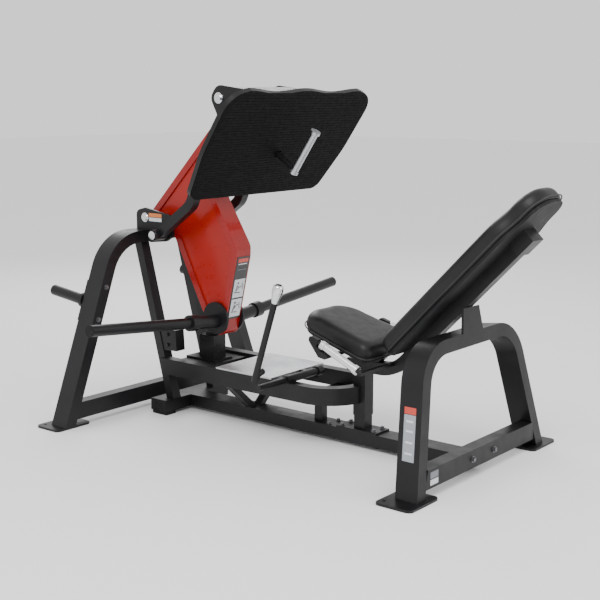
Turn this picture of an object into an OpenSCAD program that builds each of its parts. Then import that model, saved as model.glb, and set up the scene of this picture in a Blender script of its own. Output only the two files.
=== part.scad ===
// Plate-loaded leg press machine. Millimetres, +Z up, floor at z = 0, seat end towards +X.
// The middle of the machine is the plane y = 0.

/* [Frame tubes] */
// Wide side of the main tubes
tube_w = 100; // [90:1:110]
// Narrow side of the main tubes
tube_t = 55; // [50:1:60]
// Wall of the tubes
wall = 3; // [2:0.5:5]

/* [Rear frame] */
// X of the middle of the rear arch
rear_x = -902; // [-910:1:-895]
// Height of the rear arch
rear_top = 865; // [858:1:868]
// Outer half width of the rear arch at the floor
rear_half = 674; // [640:1:700]

/* [Seat frame] */
// X of the seat-end face of the seat arch at the floor
seat_x = 926; // [920:1:935]
// Height of the seat arch
seat_top = 568; // [562:1:574]
// Outer half width of the seat arch at the floor
seat_half = 496; // [480:1:510]

/* [Platform] */
// Underside of the platform rails
rail_z = 195; // [190:1:200]
// Height of the platform rails
rail_h = 75; // [70:1:76]
// Outer half width of the platform rails
rail_half = 190; // [186:1:195]

/* [Swing arm] */
// X of the main pivot
pivot_x = -870; // [-875:1:-865]
// Height of the main pivot
pivot_z = 924; // [922:1:928]
// Distance from the main pivot to the footplate pivot
arm_reach = 786; // [770:1:800]
// Angle of that line at rest, above level
arm_angle = 45.4; // [45:0.1:46]
// Width of the arm
arm_w = 98; // [94:1:100]

/* [Footplate] */
// Lean of the footplate from upright
plate_lean = 34.5; // [34:0.1:35]
// Largest half width of the footplate
plate_half = 482; // [470:1:490]

/* [Cushions] */
// Tilt of the seat, front edge up
seat_tilt = 16; // [15:0.5:16.5]
// Angle of the backrest above level
back_angle = 45.5; // [45:0.5:46]
// Thickness of the seat cushion
seat_pad = 69; // [65:1:72]
// Thickness of the back cushion
back_pad = 68; // [60:1:70]

/* [Hidden] */

EPS = 0.5;
fit = 0.05;                 // radial running clearance of the pins
foot_t = 10;                // thickness of the foot plates
pad_t = 15;                 // thickness of the rubber pads under the floor tube
rear_splay = 0.383;         // how far the rear legs lean in, per unit of height
seat_splay = 0.255;         // the same, for the seat arch
seat_lean = 0.124;          // how far the seat arch leans towards the middle, per unit of height
rear_bend = 225;            // outer bend radius of the rear arch
seat_bend = 190;            // outer bend radius of the seat arch
beam_z = 18;                // underside of the main beam
beam_top = beam_z + tube_t;
floor_tube_x = -770;        // rear face of the floor tube
cross_d = 60;               // depth of the two low cross tubes along X
rear_cross_z = 34;
seat_cross_z = 40;
cross_h = 76;
seat_cross_x = seat_x - seat_lean * 80;   // seat-end face of the low cross tube there
up_w = 45;                  // inner uprights, along X
up_t = 50;                  // inner uprights, along Y
up_out = 163;               // outer face of the inner uprights
up_foot_x = -696;           // middle of their lower end
up_top_x = -892;            // middle of their upper end
up_slope = (up_foot_x - up_top_x) / (rear_top - tube_t - beam_top);
rail_top = rail_z + rail_h;
rail_t = 50;                // thickness of a rail
loop_x = 140;               // centre of the rails' round end
plate_x0 = -372;            // checker plate, rear edge
plate_x1 = -42;             // checker plate, seat-side edge
plate_t = 8;
col_x = 320;                // seat column
col_w = 62;
col_top = 332;
pin_r = 15;
pin_small_r = 12;
arm_y = arm_w / 2;
plate_y = 130;              // outer face of the pivot plates
plate_thick = 12;
link_x = 130;               // from the main pivot to the links' lower pivot
link_drop = 70;
lp = [pivot_x + link_x, pivot_z - link_drop];
q1 = [pivot_x + arm_reach * cos(arm_angle), pivot_z + arm_reach * sin(arm_angle)];
q2 = [q1[0] + link_x, q1[1] - link_drop];
link_in = 144;              // inner face of a link
link_w = 42;                // its width across the machine
brk_in = 192;               // inner face of the footplate bracket's side plates
brk_t = 10;
horn_x = -483;              // weight horns' axis
horn_z = 456;               // its height at the arm's side
horn_rise = 5.6;            // upward tilt of each horn
horn_r = 25;
horn_tip = 830;             // y of the end of each horn
face_x = -150;              // a point of the footplate's front face, in the middle
face_z = 1250;
tread_t = 8;
board_t = 22;
crank_s = -12;              // crank axis, up the footplate from that point
crank_len = 118;
grip_len = 208;
lever_x = 55;               // axis of the stop lever
lever_z = 287;
lever_r = 13.5;
lever_out = -424;           // y of the lever's upright rod
knob_dx = 150;              // from the lever's axis to the end of its knob
knob_dz = 460;
knob_len = 83;

// ---- helpers -------------------------------------------------------------------------------

function unit2(v) = v / norm(v);
// outline with rounded corners; each point is [x, y, radius]
function rounded(p, steps = 6) = [
    for (i = [0 : len(p) - 1])
        let (b = [p[i][0], p[i][1]], r = p[i][2],
             a = [p[(i + len(p) - 1) % len(p)][0], p[(i + len(p) - 1) % len(p)][1]],
             c = [p[(i + 1) % len(p)][0], p[(i + 1) % len(p)][1]])
        each (r == 0 ? [b] :
            let (u = unit2(a - b), v = unit2(c - b), half = acos(u * v) / 2,
                 o = b + unit2(u + v) * r / sin(half),
                 s = b + u * r / tan(half) - o, e = b + v * r / tan(half) - o,
                 a0 = atan2(s[1], s[0]), turn = (atan2(e[1], e[0]) - a0 + 540) % 360 - 180)
            [for (k = [0 : steps]) o + r * [cos(a0 + turn * k / steps), sin(a0 + turn * k / steps)]])
];
// the outline moved inwards by d; the points run counter-clockwise
function inset(p, d) = [
    for (i = [0 : len(p) - 1])
        let (b = [p[i][0], p[i][1]],
             u = unit2(b - [p[(i + len(p) - 1) % len(p)][0], p[(i + len(p) - 1) % len(p)][1]]),
             v = unit2([p[(i + 1) % len(p)][0], p[(i + 1) % len(p)][1]] - b),
             n = [-u[1] - v[1], u[0] + v[0]])
        [each (b + n * d / (1 + u * v)), max(0, p[i][2] - d * sign(u[0] * v[1] - u[1] * v[0]))]
];

module span(x, y, z) {
    translate([x[0], y[0], z[0]]) cube([x[1] - x[0], y[1] - y[0], z[1] - z[0]]);
}
// an outline in X and Z, as thick as y
module side_plate(pts, y) {
    translate([0, y[1], 0]) rotate([90, 0, 0]) linear_extrude(y[1] - y[0]) polygon(pts);
}
// a round bar along Y
module bar_y(p, r, y, fn = 48) {
    translate([p[0], y[1], p[1]]) rotate([90, 0, 0]) cylinder(r = r, h = y[1] - y[0], $fn = fn);
}
// turns a shape drawn in X and Y into one in Y and Z
module in_yz() {
    rotate([90, 0, 90]) children();
}
// on both sides of the machine
module both() {
    children();
    mirror([0, 1, 0]) children();
}
function leg_y(half, splay, z) = half - splay * z;

// an arch of tube seen along X: two leaning legs from base and a level top, joined by round bends
function arch_pts(half, splay, top, bend, base) =
    let (t = tube_t / cos(atan(splay)), z1 = top - tube_t) [
        [leg_y(half, splay, base), base, 0], [leg_y(half, splay, top), top, bend],
        [-leg_y(half, splay, top), top, bend], [-leg_y(half, splay, base), base, 0],
        [t - leg_y(half, splay, base), base, 0], [t - leg_y(half, splay, z1), z1, bend - tube_t],
        [leg_y(half, splay, z1) - t, z1, bend - tube_t], [leg_y(half, splay, base) - t, base, 0]];
module arch_tube(half, splay, top, bend, base) {
    difference() {
        translate([-tube_w / 2, 0, 0]) in_yz() linear_extrude(tube_w)
            polygon(rounded(arch_pts(half, splay, top, bend, base), 20));
        translate([-tube_w / 2 + wall, 0, 0]) in_yz() linear_extrude(tube_w - 2 * wall)
            polygon(rounded(inset(arch_pts(half, splay, top, bend, base - 20), wall), 20));
    }
}
// a low tube between the two legs of an arch, with slanted ends
module leg_tie(half, splay, x, z, gap) {
    t = tube_t / cos(atan(splay)) + gap;
    function tie(z0, z1, more) = [
        [-leg_y(half, splay, z0) + t - more, z0], [leg_y(half, splay, z0) - t + more, z0],
        [leg_y(half, splay, z1) - t + more, z1], [-leg_y(half, splay, z1) + t - more, z1]];
    difference() {
        translate([x[0], 0, 0]) in_yz() linear_extrude(x[1] - x[0]) polygon(tie(z[0], z[1], 0));
        translate([x[0] + wall, 0, 0]) in_yz() linear_extrude(x[1] - x[0] - 2 * wall)
            polygon(tie(z[0] + wall, z[1] - wall, 5));
    }
}
module foot_plate(x, y, holes) {
    difference() {
        linear_extrude(foot_t) polygon(rounded([[x[0], y[0], 22], [x[1], y[0], 22],
                                                [x[1], y[1], 22], [x[0], y[1], 22]]));
        for (h = holes) translate([h[0], h[1], -1]) cylinder(r = 7, h = foot_t + 2, $fn = 32);
    }
}
// hexagon bolt head along +X, with its washer
module bolt_x(x, y, z, dir, r = 9) {
    translate([x, y, z]) rotate([0, dir * 90, 0]) {
        cylinder(r = r * 1.35, h = 2.5, $fn = 32);
        translate([0, 0, 2.5]) cylinder(r = r, h = 8, $fn = 6);
    }
}
module bolt_z(x, y, z, r = 9) {
    translate([x, y, z]) {
        cylinder(r = r * 1.35, h = 2.5, $fn = 32);
        translate([0, 0, 2.5]) cylinder(r = r, h = 8, $fn = 6);
    }
}

// ---- frame ---------------------------------------------------------------------------------

module rear_arch() color("#2e2f33") translate([rear_x, 0, 0])
    arch_tube(rear_half, rear_splay, rear_top, rear_bend, foot_t);

module rear_cross_tube() color("#2e2f33")
    leg_tie(rear_half, rear_splay, [rear_x - 18, rear_x - 18 + cross_d],
            [rear_cross_z, rear_cross_z + cross_h], 0.06);

rear_plate_x = [rear_x - tube_w / 2 - 50, rear_x + tube_w / 2];
rear_plate_y = [rear_half - 154, rear_half + 46];
rear_holes = [[rear_plate_x[0] + 25, rear_plate_y[0] + 35], [rear_plate_x[0] + 25, rear_plate_y[1] - 35]];
module rear_foot_plates() color("#2e2f33")
    both() foot_plate(rear_plate_x, rear_plate_y, rear_holes);

module inner_upright() {
    z0 = beam_top;
    z1 = rear_top - tube_t;
    function body(w, more) = [
        [up_foot_x - w / 2 + more * up_slope, z0 - more], [up_foot_x + w / 2 + more * up_slope, z0 - more],
        [up_top_x + w / 2 - more * up_slope, z1 + more], [up_top_x - w / 2 - more * up_slope, z1 + more]];
    difference() {
        side_plate(body(up_w, 0), [-up_out, -up_out + up_t]);
        side_plate(body(up_w - 2 * wall, 5), [-up_out + wall, -up_out + up_t - wall]);
    }
}
module inner_upright_left() color("#26272a") inner_upright();
module inner_upright_right() color("#26272a") mirror([0, 1, 0]) inner_upright();

floor_tube_y = 212;
module floor_tube() color("#26272a") difference() {
    span([floor_tube_x, floor_tube_x + tube_w], [-floor_tube_y, floor_tube_y], [beam_z, beam_top]);
    span([floor_tube_x + wall, floor_tube_x + tube_w - wall], [-floor_tube_y - 1, floor_tube_y + 1],
         [beam_z + wall, beam_top - wall]);
}
module floor_tube_pads() color("#141414") both() {
    span([floor_tube_x + 4, floor_tube_x + tube_w - 4], [-floor_tube_y + 2, -floor_tube_y + 62], [0, beam_z]);
    // end caps that close the tube
    difference() {
        span([floor_tube_x, floor_tube_x + tube_w], [-floor_tube_y - 5, -floor_tube_y], [beam_z, beam_top]);
        translate([floor_tube_x + tube_w / 2, -floor_tube_y - 4, (beam_z + beam_top) / 2])
            rotate([90, 0, 0]) cylinder(r = 8, h = 3, $fn = 32);
    }
}

module main_beam() color("#26272a") difference() {
    span([floor_tube_x + tube_w, seat_cross_x - cross_d], [-tube_w / 2, tube_w / 2], [beam_z, beam_top]);
    span([floor_tube_x + tube_w - 1, seat_cross_x - cross_d + 1], [-tube_w / 2 + wall, tube_w / 2 - wall],
         [beam_z + wall, beam_top - wall]);
}

// the seat arch leans towards the middle of the machine
seat_tilt_back = atan(seat_lean);
module on_arch() {
    translate([seat_x - tube_w / 2 / cos(seat_tilt_back), 0, 0]) rotate([0, -seat_tilt_back, 0]) children();
}
module seat_arch() color("#2e2f33") difference() {
    on_arch()
        arch_tube(seat_half, seat_splay * cos(seat_tilt_back), seat_top / cos(seat_tilt_back), seat_bend, -60);
    translate([seat_x - 400, -800, -400]) cube([800, 1600, 400 + foot_t]);
}
module seat_cross_tube() color("#26272a")
    leg_tie(seat_half, seat_splay, [seat_cross_x - cross_d, seat_cross_x],
            [seat_cross_z, seat_cross_z + cross_h], 0.46);

seat_plate_x = [seat_x - 142, seat_x + 22];
seat_plate_y = [seat_half - 121, seat_half + 79];
seat_holes = [[seat_plate_x[0] + 24, seat_plate_y[1] - 35], [seat_plate_x[0] + 24, seat_plate_y[0] + 30]];
module seat_foot_plates() color("#2e2f33")
    both() foot_plate(seat_plate_x, seat_plate_y, seat_holes);

module rail_outline(h, z) {
    // one tube: along one side, round the seat end, and back along the other side
    r = rail_half - rail_t / 2;
    rear0 = up_foot_x + up_w / 2 - up_slope * (z[0] - beam_top);
    rear1 = up_foot_x + up_w / 2 - up_slope * (z[1] - beam_top);
    both() side_plate([[rear0, z[0]], [loop_x + EPS, z[0]], [loop_x + EPS, z[1]], [rear1, z[1]]],
                      [-r - h / 2, -r + h / 2]);
    translate([loop_x, 0, z[0]]) rotate([0, 0, -90]) rotate_extrude(angle = 180, $fn = 96)
        translate([r - h / 2, 0]) square([h, z[1] - z[0]]);
}
module platform_rails() color("#2a2b2e") difference() {
    rail_outline(rail_t, [rail_z, rail_top]);
    difference() {
        rail_outline(rail_t - 2 * wall, [rail_z + wall, rail_top - wall]);
        span([-400, 400], [-300, 300], [rail_z + wall, rail_z + wall + 0.01]);
    }
    // seat around the column
    span([col_x - col_w / 2, col_x + col_w], [-col_w / 2, col_w / 2], [rail_z - 1, rail_top + 1]);
}

module checker_plate() color("#b9bcc0") {
    span([plate_x0, plate_x1], [-rail_half + 3, rail_half - 3], [rail_top, rail_top + plate_t]);
    // turned-down lip along the seat-side edge
    span([plate_x1 - plate_t, plate_x1], [-rail_half + rail_t + 2, rail_half - rail_t - 2],
         [rail_top - 22, rail_top]);
}

strut_x = -318;
module platform_struts() color("#26272a") both() translate([strut_x, 0, 0]) in_yz() linear_extrude(40)
    polygon([[-tube_w / 2 + 2, beam_top], [-tube_w / 2 + 42, beam_top],
             [-rail_half + 44, rail_z], [-rail_half + 4, rail_z]]);

post_x = 89;
module rail_support_post() color("#1c1c1e") {
    span([post_x - 20, post_x + 20], [-20, 20], [beam_top, rail_z]);
    // tie between the rails that rests on the post
    span([post_x - 26, post_x + 26], [-tie_y, tie_y], [rail_z, rail_z + 12]);
}

// two ties between the rails: one under the stop, one under the checker plate's seat-side edge
cross_x = [-690, -470];
tie_y = rail_half - rail_t;
module platform_crossbars() color("#26272a") {
    difference() {
        span([cross_x[0] + 8, cross_x[1]], [-tie_y, tie_y], [rail_top - 46, rail_top - 14]);
        span([cross_x[0] + 8 + wall, cross_x[1] - wall], [-tie_y - 1, tie_y + 1],
             [rail_top - 46 + wall, rail_top - 14 - wall]);
    }
    span([plate_x1 - 60, plate_x1 - plate_t], [-tie_y, tie_y], [rail_top - 40, rail_top]);
}

// side plates of the main pivot, welded on the arch
function pivot_outline() = rounded([
    [pivot_x - 62, rear_top, 0], [rear_x + tube_w / 2, rear_top, 0], [rear_x + tube_w / 2, rear_top - 60, 14],
    [lp[0] + 6, lp[1] - 36, 30], [lp[0] + 52, lp[1] - 8, 26], [lp[0] + 46, pivot_z + 16, 24],
    [pivot_x - 2, pivot_z + 46, 30], [pivot_x - 62, pivot_z + 30, 28]]);
module pivot_plate() difference() {
    side_plate(pivot_outline(), [-plate_y, -plate_y + plate_thick]);
    bar_y([pivot_x, pivot_z], pin_r, [-plate_y - 1, -plate_y + plate_thick + 1]);
    bar_y(lp, pin_small_r, [-plate_y - 1, -plate_y + plate_thick + 1]);
}
module pivot_plate_left() color("#26272a") pivot_plate();
module pivot_plate_right() color("#26272a") mirror([0, 1, 0]) pivot_plate();

stop_x = [-644, -520];
stop_top = 376;
module stop_post() color("#1e1f21") {
    span([stop_x[0] - 40, stop_x[1] + 24], [-60, 60], [rail_top - 14, rail_top - 4]);
    difference() {
        span([stop_x[0] + 30, stop_x[1]], [-40, 40], [rail_top - 4, stop_top]);
        span([stop_x[0] + 30 + wall, stop_x[1] - wall], [-40 + wall, 40 - wall],
             [rail_top - 3, stop_top - wall]);
    }
    // gusset behind the post and the small catch hook beside it
    side_plate([[stop_x[0] - 10, rail_top - 4], [stop_x[0] + 30, rail_top - 4], [stop_x[0] + 30, stop_top - 20]],
               [-5, 5]);
    side_plate(rounded([[stop_x[1], 306, 0], [stop_x[1] + 26, 306, 6], [stop_x[1] + 32, 340, 6],
                        [stop_x[1] + 16, 344, 6], [stop_x[1] + 13, 322, 0], [stop_x[1], 322, 0]]),
               [-40, -30]);
}
bumper_top = 392;
module stop_bumper() color("#141414")
    translate([(stop_x[0] + 30 + stop_x[1]) / 2, 0, stop_top]) cylinder(r = 32, h = bumper_top - stop_top, $fn = 64);

module upright_bracket() color("#1e1f21") {
    x0 = up_foot_x + up_w / 2 - up_slope * (302 - beam_top);
    x1 = up_foot_x + up_w / 2 - up_slope * (412 - beam_top);
    side_plate([[x0, 302], [x0 + 84, 306], [x0 + 78, 404], [x1, 412]], [-up_out + 4, -up_out + 12]);
    side_plate([[x0 + 74, 305], [x0 + 84, 306], [x0 + 78, 404], [x0 + 68, 405]], [-up_out + 12, -up_out + 60]);
    for (z = [330, 380]) bar_y([x0 + 26, z], 9, [-up_out - 4, -up_out + 4], 6);
}

// seat column, bolted base and its bent beam
module seat_column() color("#2a2b2e") {
    difference() {
        span([col_x - col_w / 2, col_x + col_w / 2], [-col_w / 2, col_w / 2], [138, col_top]);
        span([col_x - col_w / 2 + wall, col_x + col_w / 2 - wall], [-col_w / 2 + wall, col_w / 2 - wall],
             [137, col_top + 1]);
    }
    difference() {
        span([col_x - col_w / 2 + wall, col_x + col_w / 2 - wall], [-col_w / 2 + wall, col_w / 2 - wall],
             [beam_top + 8, 300]);
        span([col_x - col_w / 2 + 2 * wall, col_x + col_w / 2 - 2 * wall],
             [-col_w / 2 + 2 * wall, col_w / 2 - 2 * wall], [beam_top + 7, 301]);
    }
}
module column_base_plate() color("#2a2b2e") difference() {
    span([col_x - 108, col_x + 104], [-tube_w / 2, tube_w / 2], [beam_top, beam_top + 8]);
    for (x = [-86, 80], y = [-32, 32])
        translate([col_x + x, y, beam_top - 1]) cylinder(r = 6, h = 10, $fn = 32);
}

// centre line of the seat beam: level over the column, then up behind the backrest
sb_w = 50;
sb_h = 52;
sb_r = 175;
sb_z = col_top + sb_h / 2;
sb_turn = back_angle;
sb_x0 = col_x - 70;
sb_x1 = col_x + 98;
rail_len = 790;
function beam_pts(more) =
    let (h = sb_h / 2, k = [sb_x1 + sb_r * tan(sb_turn / 2), sb_z], side = [-tan(sb_turn / 2), 1] * h,
         dir = [cos(sb_turn), sin(sb_turn)], n = [-sin(sb_turn), cos(sb_turn)] * h,
         end = k + dir * (sb_r * tan(sb_turn / 2) + rail_len + more)) [
        [sb_x0, sb_z - h, 0], [each (k - side), sb_r + h], [each (end - n), 0],
        [each (end + n), 0], [each (k + side), sb_r - h], [sb_x0, sb_z + h, 0]];
module seat_beam() color("#2a2b2e") difference() {
    side_plate(rounded(beam_pts(0), 16), [-sb_w / 2, sb_w / 2]);
    side_plate(rounded(inset(beam_pts(20), wall), 16), [-sb_w / 2 + wall, sb_w / 2 - wall]);
}

// plate that stands on the seat arch and carries the rail
module back_support_post() color("#2a2b2e") {
    z0 = seat_top / cos(seat_tilt_back);
    x1 = tube_w / 2;
    on_arch() intersection() {
        in_yz() linear_extrude(tube_w) polygon([[-76, z0], [76, z0], [57, z0 + 112], [-57, z0 + 112]]);
        side_plate([[x1 - 10, z0], [x1, z0], [x1, z0 + 98], [x1 - 10, z0 + 96]], [-80, 80]);
    }
}

// frame of the backrest: u runs up the backrest, v out of its back
back_foot = [558, 580];     // a point of the cushion's front face
module on_back() {
    translate([back_foot[0], 0, back_foot[1]]) rotate([0, -back_angle, 0]) children();
}
rail_u = (sb_x1 + sb_r * sin(sb_turn) - back_foot[0]) * cos(back_angle)
    + (sb_z + sb_r * (1 - cos(sb_turn)) - back_foot[1]) * sin(back_angle) + rail_len;
board_back = back_pad + 14;
// box that closes the upper end of the rail
module back_end_bracket() color("#26272a") on_back() difference() {
    span([rail_u - 80, rail_u + 8], [-42, 42], [-board_back - sb_h - 5, -board_back]);
    span([rail_u - 81, rail_u], [-37, 37], [-board_back - sb_h - 0.1, -board_back + 1]);
}

// ---- cushions ------------------------------------------------------------------------------

module on_seat() {
    translate([90, 0, 592]) rotate([0, seat_tilt, 0]) children();
}
seat_len = 398;
seat_w = 180;
function seat_plan(d) = rounded(inset([[0, -seat_w + 24, 108], [seat_len, -seat_w, 40],
                                      [seat_len, seat_w, 40], [0, seat_w - 24, 108]], d), 8);
module seat_cushion() color("#1b1b1d") on_seat() translate([0, 0, -seat_pad])
    linear_extrude(seat_pad) polygon(seat_plan(0));
// height of the seat board's underside at a given X
function seat_under(x) = 592 - (seat_pad + 12.5) * cos(seat_tilt)
    - (x - 90 + (seat_pad + 12.5) * sin(seat_tilt)) * tan(seat_tilt);
module seat_board() color("#111112") on_seat() translate([0, 0, -seat_pad - 12.5])
    linear_extrude(12) polygon(seat_plan(14));

back_len = 950;
back_w = 155;
head_w = 122;
back_low = -118;
function back_plan(d) = rounded(inset([
    [back_low, -back_w + 12, 50], [620, -back_w, 160], [700, -head_w, 160], [back_low + back_len, -head_w, 95],
    [back_low + back_len, head_w, 95], [700, head_w, 160], [620, back_w, 160], [back_low, back_w - 12, 50]], d), 8);
module back_cushion() color("#1b1b1d") on_back() translate([0, 0, -back_pad])
    linear_extrude(back_pad) polygon(back_plan(0));
module back_board() color("#111112") on_back() translate([0, 0, -back_pad - 14])
    linear_extrude(13.5) polygon(back_plan(12));

// ---- seat handles --------------------------------------------------------------------------

grip_y = 252;
grip_a = [289, 483];
grip_b = [472, 400];
grip_r = 16;
grip_dir = unit2(grip_b - grip_a);
module along_grip() {
    translate([grip_a[0], -grip_y, grip_a[1]])
        rotate([0, 90 + atan2(grip_a[1] - grip_b[1], grip_b[0] - grip_a[0]), 0]) children();
}
module handle_grips() color("#d5d8db") both() along_grip() {
    len_g = norm(grip_b - grip_a);
    difference() {
        cylinder(r = grip_r, h = len_g, $fn = 48);
        translate([0, 0, -1]) cylinder(r = 10, h = len_g + 2, $fn = 48);
    }
    for (z = [0, len_g - 18]) translate([0, 0, z]) difference() {
        cylinder(r = grip_r + 4, h = 18, $fn = 48);
        translate([0, 0, -1]) cylinder(r = grip_r, h = 20, $fn = 48);
    }
}
front_bar = [298, 318];
module handle_brackets() color("#1e1f21") {
    both() {
        // rod through the grip, held by an arm at the front and a bar at the rear
        along_grip() translate([0, 0, -26]) cylinder(r = 9.9, h = norm(grip_b - grip_a) + 48, $fn = 48);
        translate([grip_a[0], 0, grip_a[1]]) side_plate(
            rounded([[-59, 34, 10], [-62, 12, 8], [-12, -52, 10], [22, -58, 8],
                     [46, -46, 8], [2, -26, 6], [-23, -7.2, 0], [-10.6, 20.2, 0]]),
            [-grip_y - 11, -grip_y + 11]);
        span([grip_b[0] + 5, grip_b[0] + 25], [-grip_y - 12, -sb_w / 2], [384, 396]);
    }
    // bar under the seat, and the block that carries it on the beam
    span(front_bar, [-grip_y + 6, grip_y - 6], [429, 440]);
    span([front_bar[0] + 3, front_bar[1] - 3], [-22, 22], [sb_z + sb_h / 2, 430]);
}
// wedge between the beam and the seat board
module seat_mount() color("#1e1f21")
    side_plate([[front_bar[1] + 6, sb_z + sb_h / 2], [sb_x1 - 8, sb_z + sb_h / 2], [436, seat_under(436)],
                [front_bar[1] + 6, seat_under(front_bar[1] + 6)]], [-22, 22]);

// ---- storage pegs and bolts ----------------------------------------------------------------

peg_z = 552;
peg_y = leg_y(rear_half, rear_splay, peg_z) - tube_t / 2 / cos(atan(rear_splay));
peg_x = rear_x - tube_w / 2;
peg_len = 228;
peg_tilt = 7;
module storage_pegs() color("#1c1c1e") both() translate([peg_x - 10, -peg_y, peg_z])
    rotate([0, -90 + peg_tilt, 0]) difference() {
        union() {
            cylinder(r = horn_r, h = peg_len, $fn = 64);
            cylinder(r = horn_r + 10, h = 20, $fn = 64);
        }
        translate([0, 0, -40]) cylinder(r = horn_r - 4, h = peg_len + 30, $fn = 64);
        rotate([0, -peg_tilt, 0]) translate([-60, -60, -60]) cube([120, 120, 60]);
    }
module storage_peg_plates() color("#1c1c1e") both() translate([peg_x - 10, -peg_y, peg_z])
    rotate([-atan(rear_splay), 0, 0]) span([0, 10], [-24, 24], [-96, 96]);

module frame_bolts() color("#3a3b3e") {
    for (y = [-84, 84]) bolt_x(seat_cross_x, y, seat_cross_z + cross_h / 2, 1, 10);
    for (x = [-86, 80], y = [-32, 32]) bolt_z(col_x + x, y, beam_top + 8, 9);
    both() for (z = [-72, 72])
        bolt_x(peg_x + tube_w, -peg_y + rear_splay * z, peg_z + z, 1, 9);
    both() bolt_z(212 - tube_w / 2, -34, beam_top, 8);
}

module pin_with_heads(p, r, half, head_r) {
    bar_y(p, r, [-half, half]);
    both() {
        bar_y(p, head_r, [-half - 5, -half]);
        bar_y(p, head_r * 0.72, [-half - 12, -half - 5]);
    }
}
module main_pivot_pin() color("#c9ccd0") pin_with_heads([pivot_x, pivot_z], pin_r - fit, plate_y, 22);
link_out = link_in + link_w;
// two stub pins in the pivot plates
module link_pivot_pin() color("#c9ccd0") both() {
    bar_y(lp, pin_small_r - fit, [-link_out - 26, -plate_y + plate_thick]);
    bar_y(lp, 20, [-plate_y + plate_thick, -plate_y + plate_thick + 5]);
    bar_y(lp, 20, [-link_out - 32, -link_out - 26]);
}

// tube that carries the stop lever, with a foot on the rail and a boss on the checker plate's lip
bear_r = lever_z - rail_top;
module lever_bearings() color("#1e1f21") difference() {
    union() {
        bar_y([lever_x, lever_z], bear_r, [-190, 30]);
        span([lever_x - 15, lever_x + 15], [-186, -150], [rail_top, lever_z - 6]);
        bar_y([lever_x, lever_z], bear_r + 5, [6, 34]);
        span([plate_x1, lever_x], [8, 32], [lever_z - 30, lever_z - 8]);
    }
    bar_y([lever_x, lever_z], lever_r + fit, [-200, 40]);
}

// ---- swing arm -----------------------------------------------------------------------------

// points of the arm's side, clockwise from the main pivot, as [x, z, radius]
bar_half = 44;
bar_dir = [cos(arm_angle), sin(arm_angle)];
bar_up = [-sin(arm_angle), cos(arm_angle)];
pv = [pivot_x, pivot_z];
function pt(p, r) = [p[0], p[1], r];
arm_pts = [
    pt(pv - bar_dir * 44 + bar_up * bar_half, 40), pt(pv + [-28, -34], 30),
    [-762, 842, 60], [-600, 530, 60], [-529, 398, 24], [-452, 388, 24],
    [-364, 762, 60], [-362, 812, 60], [-561, 1132, 90],
    pt(q1 + bar_dir * 40 - bar_up * bar_half, 40), pt(q1 + bar_dir * 40 + bar_up * bar_half, 40)];
arm_wall = 5;
arm_edge = 32;              // width of the raised edge
panel_deep = 8;             // how far the side panels sit below it
hub_r = 30;
module arm_frame() color("#b0241c") difference() {
    side_plate(rounded(arm_pts, 8), [-arm_y, arm_y]);
    side_plate(rounded(inset(arm_pts, arm_wall), 8), [-arm_y + panel_deep, arm_y - panel_deep]);
    side_plate(rounded(inset(arm_pts, arm_edge), 8), [-arm_y - 1, arm_y + 1]);
    for (p = [pv, q1]) bar_y(p, hub_r, [-arm_y - 1, arm_y + 1]);
}
module arm_panels() color("#a02a18") both() difference() {
    side_plate(rounded(inset(arm_pts, arm_wall), 8), [-arm_y + panel_deep, -arm_y + panel_deep + 3]);
    for (p = [pv, q1]) bar_y(p, hub_r, [-arm_y, 0]);
    bar_y([horn_x, horn_z], 36, [-arm_y, 0]);
}
// bushed tubes that turn on the two pivot pins
module arm_pivot_hubs() color("#b0241c") {
    for (h = [[pv, plate_y - plate_thick - 1], [q1, brk_in - 1]]) difference() {
        bar_y(h[0], hub_r, [-h[1], h[1]]);
        bar_y(h[0], pin_r, [-h[1] - 1, h[1] + 1]);
    }
}

// the weight horns' axis rises outwards on each side
module on_horn() {
    translate([horn_x, -arm_y, horn_z]) rotate([90 - horn_rise, 0, 0]) children();
}
disc_r = 76;
module arm_cover_discs() color("#1e1f21") both() difference() {
    bar_y([horn_x - 8, horn_z + 14], disc_r, [-arm_y - 12, -arm_y], 96);
    on_horn() translate([0, 0, -30]) cylinder(r = 30.5, h = 80, $fn = 64);
}
hub_at = 4.2;               // where a hub tube starts, just outside the arm
module horn_hub() color("#1e1f21") {
    both() on_horn() translate([0, 0, hub_at]) difference() {
        cylinder(r = 30, h = collar_at - hub_at, $fn = 64);
        translate([0, 0, 14]) cylinder(r = 22, h = collar_at, $fn = 64);
    }
    bar_y([horn_x, horn_z], 13, [-arm_y - 9, arm_y + 9]);
}
horn_len = (horn_tip - arm_y) / cos(horn_rise);
collar_at = 151;
collar_len = 44;
seat_r = horn_r - 1;
module weight_horns() color("#1c1c1e") both() on_horn()
    translate([0, 0, collar_at]) difference() {
        union() {
            cylinder(r = seat_r, h = collar_len + 1, $fn = 64);
            translate([0, 0, collar_len]) cylinder(r = horn_r, h = horn_len - collar_at - collar_len - 8, $fn = 64);
        }
        translate([0, 0, collar_len]) cylinder(r = horn_r - 4, h = horn_len, $fn = 64);
    }
// each horn is turned down where the collar sits on it
module horn_collars() color("#161617") both() on_horn() translate([0, 0, collar_at]) difference() {
    cylinder(r = 37, h = collar_len, $fn = 64);
    translate([0, 0, -1]) cylinder(r = seat_r, h = collar_len + 2, $fn = 64);
}
module horn_end_caps() color("#111112") both() on_horn() translate([0, 0, horn_len - 8]) {
    cylinder(r = horn_r, h = 8, $fn = 64);
    translate([0, 0, -14]) cylinder(r = horn_r - 4.2, h = 14, $fn = 64);
}

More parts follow.
